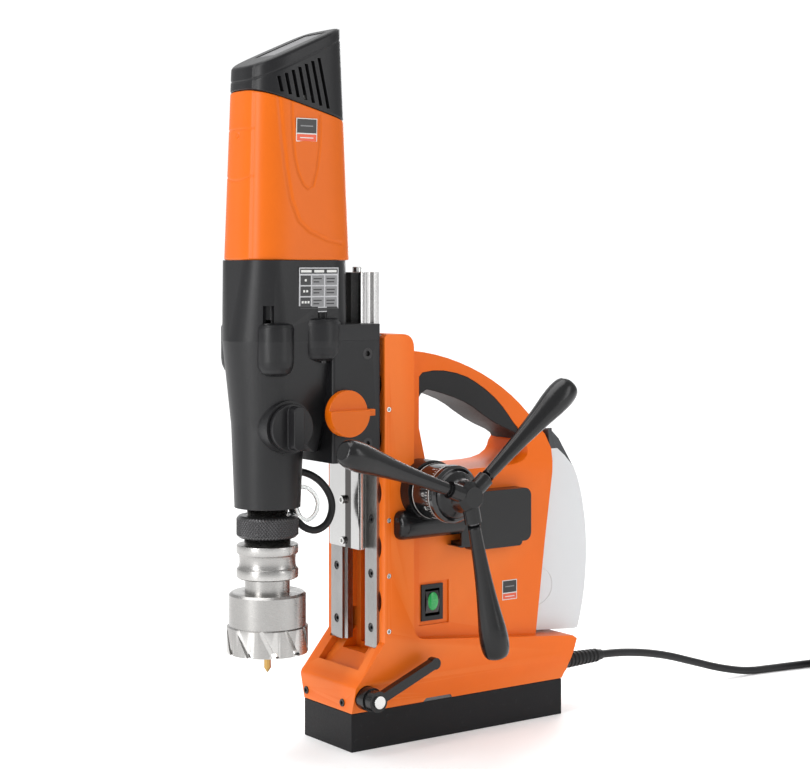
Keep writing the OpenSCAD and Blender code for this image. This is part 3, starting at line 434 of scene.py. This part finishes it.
def tie_straps():
    """Two straps round the coil, rounded rectangles in section, each with an outer and an inner surface."""
    sides = 32
    half_across, half_up, half_width, thickness = 0.0121, 0.01595, 0.006, 0.0006
    middle_r, middle_z = 48, 16.0
    ring = []
    for k in range(sides):
        t = 2 * math.pi * k / sides
        c, s = math.cos(t), math.sin(t)
        ring.append((half_across * math.copysign(abs(c) ** 0.45, c),
                     half_up * math.copysign(abs(s) ** 0.35, s)))
    verts, faces = [], []
    for a in (math.radians(200), math.radians(20)):
        mid = Vector((COIL[0] + middle_r * math.cos(a), COIL[1] + middle_r * math.sin(a), middle_z)) * MM
        out = Vector((math.cos(a), math.sin(a), 0.0))
        along = Vector((-math.sin(a), math.cos(a), 0.0))
        base = len(verts)
        for side in (-half_width, half_width):
            for extra in (thickness, 0.0):
                for u, w in ring:
                    p = mid + out * (u + math.copysign(extra, u)) + along * side
                    # kept off the floor; on the underside this puts the outer surface above the inner one
                    p.z = max(p.z + w + math.copysign(extra, w), 0.0001 + extra)
                    verts.append(p)
        order = (0, 1, 3, 2)
        for j in range(4):
            p, q = base + order[j] * sides, base + order[(j + 1) % 4] * sides
            faces += [(p + k, p + (k + 1) % sides, q + (k + 1) % sides, q + k) for k in range(sides)]
    return verts, faces


tie_verts, tie_faces = tie_straps()
cord_tie = make("cord_tie", tie_verts, tie_faces, "stand", "cord_rubber")

# Motor lead and coolant hose loops: both ends go back into the gearbox
LEAD = [(-163, 6, 254), (-150, 5, 253), (-138, 3, 248), (-128, 1, 239), (-122, -1, 227), (-122, -2, 215),
        (-128, -2, 204), (-139, 0, 199), (-149, 5, 203), (-155, 10, 213), (-158, 13, 226), (-163, 14, 234)]
HOSE = [(-163, -4, 241), (-152, -4, 240), (-143, -4, 234), (-138, -3, 225), (-139, -1, 215), (-146, 1, 209),
        (-153, 4, 213), (-157, 6, 224), (-163, 7, 232)]


def loop_piece(name, route, radius, slot, node):
    """Hanging loop on the motor unit, in place of a CAD node."""
    line = spline_through(route, 5)
    ob = curve_piece(name, line, radius, "motor_unit", slot)
    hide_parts(node)


loop_piece("lead_loop", LEAD, 3.4, "cord_rubber", "motor_lead")
loop_piece("hose_loop", HOSE, 2.0, "clear_hose", "coolant_hose")

# ---------------------------------------------------------------- motor shell and cap, lofted, in mm
SHELL_MID = SHELL_X / MM
Z0, TAPER = 448.0, 15.0 / 212.0        # foot of the shell, and the loss of length per mm of height
SHELL_HEIGHT = 150.0                   # about the shell's height, which spaces its rows
SEAM_HALF = 0.35                       # half of the gap between shell and cap
ROOF_DROP = 3.0                        # the cap's walls end this far below its roof plane
AROUND = 288
# Pressed lines of the near and far flanks, (x, z)
GROOVE = [(-186.4, 597.0), (-186.2, 558.0), (-184.2, 539.7), (-180.9, 526.6), (-175.3, 515.5),
          (-170.4, 511.8), (-165.3, 514.8), (-160.8, 529.1), (-157.4, 550.1), (-156.2, 578.0)]
SCALLOP = [(-199.4, 600.0), (-196.2, 558.0), (-192.9, 528.1), (-188.5, 502.0), (-180.7, 483.4),
           (-169.6, 474.1), (-150.0, 466.0), (-134.0, 463.0)]


def section(z):
    """Half length and half width of the motor section at a height."""
    grow = (z - Z0) * TAPER
    return (105.0 - grow) / 2, (80.0 - 0.8 * grow) / 2


def outline(z, k):
    """Point k of the motor's section: round nose, raised front band, flat flanks, tight rear corners."""
    a, b = section(z)
    t = 2 * math.pi * k / AROUND
    c, s = math.cos(t), math.sin(t)
    n = 3.1 if c < 0 else 3.1 + 2.4 * smoothstep(c * 2.2)
    r = (abs(c / a) ** n + abs(s / b) ** n) ** (-1 / n)
    x, y = r * c, r * s
    band = abs(math.degrees(math.atan2(s, -c)))
    lift = 0.8 * (1 - smoothstep((band - 23.6) / 1.3))
    return Vector((x - lift * (1 if c < 0 else 0), y, z))


def seam_z(x):
    """Height of the seam, a plane that falls towards the stand."""
    return 605.4 - (x + 240.0) * 37.8 / 140.0


def top_z(x):
    """Height of the cap's roof plane, which rises towards the stand."""
    return 611.5 + (x + 240.0) * 62.5 / 140.0


def polyline_distance(p, pts):
    """Distance of a point from a line through points."""
    best = 1e9
    for a, b in zip(pts, pts[1:]):
        ax, az = a
        dx, dz = b[0] - ax, b[1] - az
        t = max(0.0, min(1.0, ((p[0] - ax) * dx + (p[1] - az) * dz) / (dx * dx + dz * dz)))
        best = min(best, math.hypot(p[0] - ax - t * dx, p[1] - az - t * dz))
    return best


def pressed(distance, depth, width):
    """Depth of a soft groove at a distance from its middle."""
    return depth * math.exp(-(distance / width) ** 2)


def motor_shell():
    """Orange shell with its pressed lines, a round mark on the nose, and an inner wall that closes it."""
    rows = 200
    foot = Z0 + 0.05
    flank_y, flank_x, nose_y = 20, 46, 22
    low_line, high_line, mark_z = 519.0, 565, 559.5
    verts = []
    for r in range(rows + 1):
        for k in range(AROUND):
            share = r / rows
            flat = outline(Z0 + SHELL_HEIGHT * share, k)
            top = seam_z(SHELL_MID + flat.x) - SEAM_HALF
            z = foot + (top - foot) * share
            p = outline(z, k)
            dent = 0.0
            if abs(p.y) > flank_y and abs(p.x) < flank_x:
                x = SHELL_MID + p.x
                dent += pressed(polyline_distance((x, z), GROOVE), 0.75, 0.8)
                dent += pressed(polyline_distance((x, z), SCALLOP), 0.85, 1.6)
            if abs(p.y) < nose_y and p.x < 0:
                low = low_line + 4.0 * (p.y / nose_y) ** 2
                dent += pressed(min(abs(z - low), abs(z - high_line)), 0.6, 0.7)
                dent += pressed(p.y ** 2 + (z - mark_z) ** 2, 1.6, 5.5)
            shrink = 1.0 - dent / max(20.0, math.hypot(p.x, p.y))
            # drawn-in edges at the foot and at the seam
            edge = 0.9 * (1 - smoothstep(min(share * SHELL_HEIGHT, (1 - share) * SHELL_HEIGHT) / 1.1))
            shrink -= edge / 48.0
            verts.append(Vector((SHELL_MID + p.x * shrink, p.y * shrink, z)) * MM)
    base = len(verts)
    for level in (rows, 0):
        for k in range(AROUND):
            v = verts[level * AROUND + k]
            c = Vector((SHELL_X, 0, v.z))
            verts.append(c + (v - c) * 0.94)
    faces = grid_faces(rows + 1, AROUND)
    for k in range(AROUND):
        j = (k + 1) % AROUND
        faces.append((rows * AROUND + k, rows * AROUND + j, base + j, base + k))
        faces.append((base + k, base + j, base + AROUND + j, base + AROUND + k))
        faces.append((base + AROUND + k, base + AROUND + j, j, k))
    ob = make("motor_shell", verts, faces, "motor_unit", "orange_plastic")
    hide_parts("motor_housing", "brush_cover")


def cap_cutter():
    """Boxes that cut the louvres through both flanks, and the panel's recess into the roof."""
    verts, faces = [], []

    def bar(points):
        b = len(verts)
        verts.extend(Vector(p) * MM for p in points)
        faces.extend(tuple(b + i for i in f) for f in BOX_FACES)

    louvres, first_x, pitch, lean = 7, -196, 8.0, math.tan(math.radians(12))
    for s in (-1, 1):
        for k in range(louvres):
            x = first_x + pitch * k
            z = seam_z(x) + 4.5
            h = 14.0 + 5.2 * k
            bar([p for y in (28.0 * s, 50.0 * s) for p in
                 ((x - 1.3, y, z), (x + 2.1, y, z),
                  (x + 2.3 - lean * h, y, z + h), (x - 1.1 - lean * h, y, z + h))])
    seat = Vector((-162.0, 0.0, 645.7))
    a = math.radians(24.06)
    along, up = Vector((math.cos(a), 0, math.sin(a))), Vector((-math.sin(a), 0, math.cos(a)))
    bar([seat + along * u + Vector((0, 1, 0)) * v + up * w
         for w in (-1.6, 12) for u, v in ((-34, -18), (26, -18), (26, 18), (-34, 18))])
    return linked("cap_cut", outward_mesh("cap_cut", verts, faces))


def vent_cap():
    """Black cap: walls from the seam to the roof, a rounded rim, louvres and the sunk panel seat."""
    verts = []
    rows = 72
    for r in range(rows + 1):
        for k in range(AROUND):
            share = r / rows
            flat = outline(600, k)
            x = SHELL_MID + flat.x
            lo, hi = seam_z(x) + SEAM_HALF, top_z(x) - ROOF_DROP
            z = lo + (hi - lo) * share
            p = outline(z, k)
            edge = 0.8 * (1 - smoothstep(share * (hi - lo) / 1.0))
            edge += pressed(top_z(x) - 12.5 - z, 0.55, 0.8)
            f = 1 - edge / 45.0
            verts.append(Vector((SHELL_MID + p.x * f, p.y * f, z)))
    last = verts[-AROUND:]
    up = Vector((-62.5, 0.0, 140.0)).normalized()
    centre = Vector((SHELL_MID, 0.0, top_z(SHELL_MID) - ROOF_DROP))
    # Rounded rim, then the flat roof: (share of the wall's outline, height above it)
    shape = [(0.985, 1.3), (0.965, 2.2), (0.94, 2.7), (0.91, 2.85), (0.80, 2.85)]
    for f, h in shape:
        for v in last:
            d = v - centre
            flat = d - up * d.dot(up)
            verts.append(centre + flat * f + up * h)
    verts.append(centre + up * shape[-1][1])
    faces = grid_faces(rows + 1 + len(shape), AROUND)
    tip = len(verts) - 1
    ring = (rows + len(shape)) * AROUND
    faces += [(ring + k, ring + (k + 1) % AROUND, tip) for k in range(AROUND)]
    low = len(verts)
    verts.append(Vector((SHELL_MID, 0.0, seam_z(SHELL_MID) + SEAM_HALF)))
    faces += [((k + 1) % AROUND, k, low) for k in range(AROUND)]
    ob = make("cap_shell", [v * MM for v in verts], faces, "motor_unit", "black_casting")
    cutter = cap_cutter()
    modifier(ob, "BOOLEAN", "cut", operation="DIFFERENCE", object=cutter, solver="EXACT")
    bpy.context.view_layer.update()
    apply_modifiers(ob)
    bpy.data.objects.remove(cutter)
    soften(ob, 0.00035, 2, 38.0, clean=False)
    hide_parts("vent_cap")


motor_shell()
vent_cap()

# ---------------------------------------------------------------- CAD nodes: rounded edges and their finishes
SLOT_OF = {s["node"]: s["material_slot"] for s in frame["record"]["subparts"]}
FINISH = {"switch_rocker": "gloss_black", "star_grips": "grip_gloss", "star_hub": "grip_gloss",
          "pinion_housing": "grip_gloss", "control_box": "grip_gloss", "clamp_lever": "grip_gloss",
          "swivel_plate": "black_steel", "gearbox_screws": "black_screw"}
USUAL_BEVEL = 0.0003
BEVEL = {
    "stand_frame": 0.0012, "rear_housing": 0.0016, "handle_grip": 0.003, "magnet_body": 0.0009,
    "motor_bracket": 0.0014, "gearbox_upper": 0.0012, "gearbox_lower": 0.0012, "control_box": 0.0014,
    "pinion_housing": 0.0012, "near_guide_rail": 0.0004, "far_guide_rail": 0.0004, "carriage_slide": 0.0005,
    "coolant_tank": 0.0035, "tank_cap": 0.0018, "clamp_lever": 0.001, "gear_selector": 0.0009,
    "height_clamp_knob": 0.001, "star_hub": 0.0009, "star_grips": 0.0, "star_spokes": 0.0004,
    "scale_ring": 0.0004, "arbor": 0.0, "release_collar": 0.0, "pilot_pin": 0.0, "ejector_spring": 0.0,
    "mains_plug": 0.0015, "strain_relief": 0.0004, "armature": 0.0, "intermediate_gear": 0.0, "spindle": 0.0,
    "stator": 0.0, "switch_rocker": 0.0006, "switch_bezel": 0.0006, "feed_rack": 0.0, "pinion_shaft": 0.0,
}
for node, ob in NODES.items():
    if ob.hide_render:
        continue
    me = ob.data
    if "custom_normal" in me.attributes:
        me.attributes.remove(me.attributes["custom_normal"])
    me.materials.clear()
    me.materials.append(MAT[FINISH.get(node, SLOT_OF[node])])
    me.polygons.foreach_set("material_index", [0] * len(me.polygons))
    me.polygons.foreach_set("use_smooth", [True] * len(me.polygons))
    width = BEVEL.get(node, USUAL_BEVEL)
    soften(ob, width, 3 if width > 0.001 else 2)

# ---------------------------------------------------------------- gear plate, badges, dial
def sheet_piece(name, body, slot, place, items, mats):
    """Flat piece of raised rectangles in mm, placed by a matrix."""
    verts, faces, index = plates(items)
    make(name, [place @ (v * MM) for v in verts], faces, body, slot, mats, index, smooth=False)


def tilted(x, z, y, lean):
    """Frame of a plate on the near side, at a place in mm and leaning by an angle in degrees."""
    return Matrix.Translation((x * MM, y * MM, z * MM)) @ Matrix.Rotation(math.radians(90 - lean), 4, "X")


def gear_plate():
    """Gear table without text: ruled fields, one to three dots per row and plain bars for the figures."""
    metal, black, white, grey = range(4)
    items = [(-22, -20, 20, 20, 0.35, metal), (-21, 14.4, 19, 19, 0.42, black)]
    for c in range(3):
        items.append((-20 + 13.4 * c + (0.6 if c else 0), 15.6, -9 + 13.4 * c, 17.8, 0.47, white))
    for r in range(3):
        z = 8.6 - 9.8 * r
        items.append((-20.5, z - 4.3, -9.6, z + 4.3, 0.42, black))
        for k in range(r + 1):
            x = -15.05 + (k - r / 2) * 3.1
            items.append((x - 1.0, z - 1.0, x + 1.0, z + 1.0, 0.5, white))
        for c in range(2):
            x = -8.2 + 14.0 * c
            items.append((x, z - 4.3, x + 12.6, z + 4.3, 0.40, grey))
            items.append((x + 1.4, z + 0.9, x + 10.2, z + 2.0, 0.45, black))
            items.append((x + 1.4, z - 2.0, x + 7.6 + 2 * c, z - 0.9, 0.45, black))
    items.append((-20.5, -19.2, 19, -16.2, 0.42, black))
    sheet_piece("gear_plate", "motor_unit", "grey_plastic", tilted(-160.0, 421.5, -40.42, -0.8), items,
                ["label_metal", "ink_black", "ink_white", "grey_plastic"])


def badge(name, body, x, z, y, w, h, lean):
    """Plain plate: dark field over a red one, each with a thin line."""
    white, red, black, grey = range(4)
    side, end = w / 2 - 0.7, h / 2 - 0.7
    items = [(-w / 2, -h / 2, w / 2, h / 2, 0.30, white),
             (-side, -end, side, -h * 0.18, 0.38, red),
             (-side, -h * 0.13, side, end, 0.38, black),
             (-w * 0.30, h * 0.15, w * 0.30, h * 0.20, 0.44, grey),
             (-w * 0.32, -h * 0.35, w * 0.32, -h * 0.31, 0.44, white)]
    sheet_piece(name, body, "grey_plastic", tilted(x, z, y, lean), items,
                ["ink_white", "ink_red", "ink_black", "grey_plastic"])


gear_plate()
badge("motor_badge", "motor_unit", -171.6, 564.6, -36.95, 22, 21, -1.6)
badge("side_badge", "stand", 60.5, 129, -38.05, 18, 19, 0)

# Dial marks and numerals, wrapped round the scale ring
RIM = 25.66                            # radius of the marks, mm
MARKS_Y, NUMERALS_Y = -85.6, -80.3     # where they start along the feed axis, mm
dial_verts, dial_faces = [], []


def wrap(points, faces):
    """Flat shapes (along the rim, along the axis) in mm, laid round the feed shaft."""
    b = len(dial_verts)
    for u, w in points:
        a = u / RIM
        rim = Vector((-RIM * math.sin(a), 0, RIM * math.cos(a))) * MM
        dial_verts.append(FEED + rim + Vector((0, w * MM, 0)))
    dial_faces.extend(tuple(b + i for i in f) for f in faces)


for k in range(60):
    u = 2 * math.pi * RIM * k / 60
    end = MARKS_Y + (4.2 if k % 5 == 0 else 2.4)
    wrap([(u - 0.18, MARKS_Y), (u + 0.18, MARKS_Y), (u + 0.18, end), (u - 0.18, end)], [(0, 1, 2, 3)])
for k in range(12):
    data = bpy.data.curves.new("numeral", "FONT")
    data.body = str(5 * k)
    data.size = 4.4
    data.align_x = "CENTER"
    holder = linked("numeral", data)
    bpy.context.view_layer.update()
    glyph = bpy.data.meshes.new_from_object(holder.evaluated_get(bpy.context.evaluated_depsgraph_get()))
    u = 2 * math.pi * RIM * k / 12
    wrap([(u - v.co.x, NUMERALS_Y + v.co.y) for v in glyph.vertices],
         [tuple(p.vertices) for p in glyph.polygons])
    bpy.data.objects.remove(holder)
    bpy.data.meshes.remove(glyph)
make("dial_marks", dial_verts, dial_faces, "feed", "gloss_black", ["ink_white"], smooth=False)

# Lit oval lens on the rocker
ROCKER = Vector((-0.0325, -0.0392, 0.128))
LENS = (0.0060, 0.0016, 0.0086)        # half width, height over the rocker, half height, metres
arc = [math.radians(a) for a in range(-10, 91, 10)]
dome, dome_faces = lathe([(math.cos(a), math.sin(a)) for a in arc], 48, y_frame(0, 0))
make("switch_lens", [ROCKER + Vector(c * s for c, s in zip(v, LENS)) for v in dome], dome_faces, "rocker",
     "green_lens")

# Moulded half oval on both flanks of the tank
for side, y in (("near", -29.0), ("far", 29.0)):
    rib = [(101 + 21 * math.cos(math.radians(a)), y, 127 + 19 * math.sin(math.radians(a)))
           for a in range(-78, 83, 8)]
    curve_piece(side + "_tank_rib", rib, 0.55, "tank", "tank_plastic")

# Metal index bands of the dial, and the ring that closes the barrel
bands, band_faces = [], []
for y, r in ((-0.0630, 25.75), (-0.0885, 26.50)):
    ring = [(r - 0.5, -0.7), (r, -0.6), (r + 0.08, 0.0), (r, 0.6), (r - 0.5, 0.7)]
    verts, faces = lathe([(a * MM, b * MM) for a, b in ring], 128, y_frame(FEED.x, FEED.z, y))
    band_faces += [tuple(len(bands) + i for i in f) for f in faces]
    bands += verts
make("dial_bands", bands, band_faces, "feed", "satin_steel")


def knurled_collar():
    """Release ring with a diamond knurl between two chamfers."""
    steps, inner, knurl_r, knurl_rows = 432, 18.56, 28.2, 52
    profile = [(inner, 197.5), (25.6, 197.5), (26.1, 197.8), (28.0, 199.9)]
    profile += [(knurl_r, 200.2 + 14.6 * i / knurl_rows) for i in range(knurl_rows + 1)]
    profile += [(28.0, 215.1), (26.1, 217.2), (25.6, 217.5), (inner, 217.5)]
    axis = Vector((SPINDLE_X, 0, 0))
    verts = []
    for r, z in profile:
        for k in range(steps):
            a = 2 * math.pi * k / steps
            cut = 0.0
            if r == knurl_r:
                u, w = a * knurl_r / 3.055, (z - 207.5) / 3.6
                ridge = min(abs(math.sin(math.pi * (u + w))), abs(math.sin(math.pi * (u - w))))
                cut = 0.95 * (1 - min(1.0, ridge * 1.5))
            verts.append(Vector(((r - cut) * math.cos(a), (r - cut) * math.sin(a), z)) * MM + axis)
    rows = len(profile)
    faces = grid_faces(rows, steps)
    faces += [((rows - 1) * steps + k, (rows - 1) * steps + (k + 1) % steps, (k + 1) % steps, k)
              for k in range(steps)]
    ob = make("knurled_collar", verts, faces, "collar", "black_steel")
    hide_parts("release_collar")


knurled_collar()


def pin_spring():
    """Six turns of wire from the pilot pin's shoulder to the fixed end."""
    steps, sides, turns = 24, 10, 6
    low, high, coil_r, wire_r = 208.2, 238.8, 4.6, 0.6
    verts = []
    for i in range(turns * steps + 1):
        a = 2 * math.pi * i / steps
        out = Vector((math.cos(a), math.sin(a), 0.0))
        mid = out * coil_r + Vector((SPINDLE_X / MM, 0.0, low + (high - low) * i / (turns * steps)))
        for k in range(sides):
            t = 2 * math.pi * k / sides
            verts.append((mid + out * wire_r * math.cos(t) + Vector((0, 0, wire_r * math.sin(t)))) * MM)
    faces = grid_faces(turns * steps + 1, sides)
    faces += [tuple(range(sides)), tuple(range(turns * steps * sides, (turns * steps + 1) * sides))]
    ob = make("pin_spring", verts, faces, "spindle", "machined_steel")
    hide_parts("ejector_spring")
    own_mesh(ob)


pin_spring()

# ---------------------------------------------------------------- floor and light
def area(name, spot, target, size, size_y, power):
    """Rectangular lamp at a place, turned to a target."""
    data = bpy.data.lights.new(name, "AREA")
    data.shape = "RECTANGLE"
    data.size, data.size_y, data.energy = size, size_y, power
    ob = linked(name, data)
    ob.location = spot
    aim(ob, Vector(target) - Vector(spot))


area("key", (-2.0, -0.35, 0.9), (-0.1, 0, 0.35), 0.5, 1.6, 22)
area("side", (0.8, -1.8, 1.0), (0, 0, 0.3), 0.5, 1.5, 8)
area("rim", (1.2, 0.9, 1.0), (0, 0, 0.35), 0.6, 1.4, 10)
sun = bpy.data.lights.new("overhead", "SUN")
sun.energy = 1.75
sun.angle = math.radians(50)
linked("overhead", sun).rotation_euler = (math.radians(-12), math.radians(-10), 0)

floor_mesh = bpy.data.meshes.new("floor")
floor_mesh.from_pydata([(-12, -12, 0), (12, -12, 0), (12, 12, 0), (-12, 12, 0)], [], [(0, 1, 2, 3)])
floor = linked("floor", floor_mesh)
floor_mesh.materials.append(surface("pale_floor", (0.90, 0.90, 0.90), 0.6, emission=0.15, tint=0.01, broad=2,
                                    grain=120, bump=0.00001, spread=0.03))

# The world is bright in the direction of view, for the white background, and dimmer elsewhere
world = bpy.data.worlds.new("studio")
bpy.context.scene.world = world
world.use_nodes = True
sky = world.node_tree
toward = add(sky, "ShaderNodeTexCoord")
facing = add(sky, "ShaderNodeVectorMath", {"operation": "DOT_PRODUCT"})
facing.inputs[1].default_value = VIEW
sky.links.new(toward.outputs["Generated"], facing.inputs[0])
level = add(sky, "ShaderNodeMapRange", From_Min=0.70, From_Max=0.93, To_Min=0.66, To_Max=1.05)
sky.links.new(facing.outputs["Value"], level.inputs[0])
background = sky.nodes["Background"]
sky.links.new(level.outputs[0], background.inputs["Strength"])
background.inputs["Color"].default_value = (0.99, 0.995, 1.0, 1.0)
bpy.context.scene.view_settings.view_transform = "Standard"
